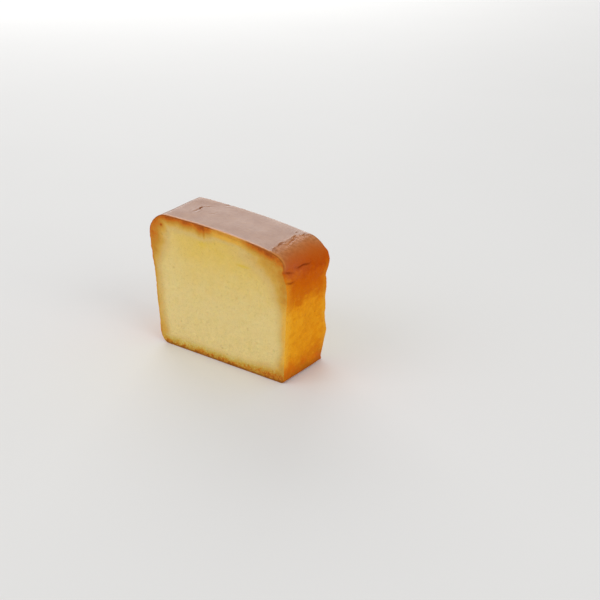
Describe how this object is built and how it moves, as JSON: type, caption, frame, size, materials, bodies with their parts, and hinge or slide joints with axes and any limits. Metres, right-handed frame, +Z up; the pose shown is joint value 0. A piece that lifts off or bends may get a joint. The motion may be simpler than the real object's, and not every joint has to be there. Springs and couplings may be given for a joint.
{
  "type": "mini brandy cake slice",
  "caption": "Thick upright slice of a small loaf cake soaked in brandy syrup, with a fine crumb, browned walls and a glazed top skin.",
  "frame": {"origin": "middle of the flat base that the slice stands on", "axes": "+X runs across the loaf towards the shoulder that has sunk, +Y along the loaf and away from the front cut, +Z up"},
  "size_m": [0.063, 0.024, 0.0503],
  "materials": {
    "crumb": "fine, pale yellow, matte crumb on both cuts, soaked darker towards the browned walls and base; orange-brown pebbled walls, and a smooth glossy brown skin on top"
  },
  "bodies": {
    "root": {"cake_slice": "crumb"}
  },
  "joints": []
}
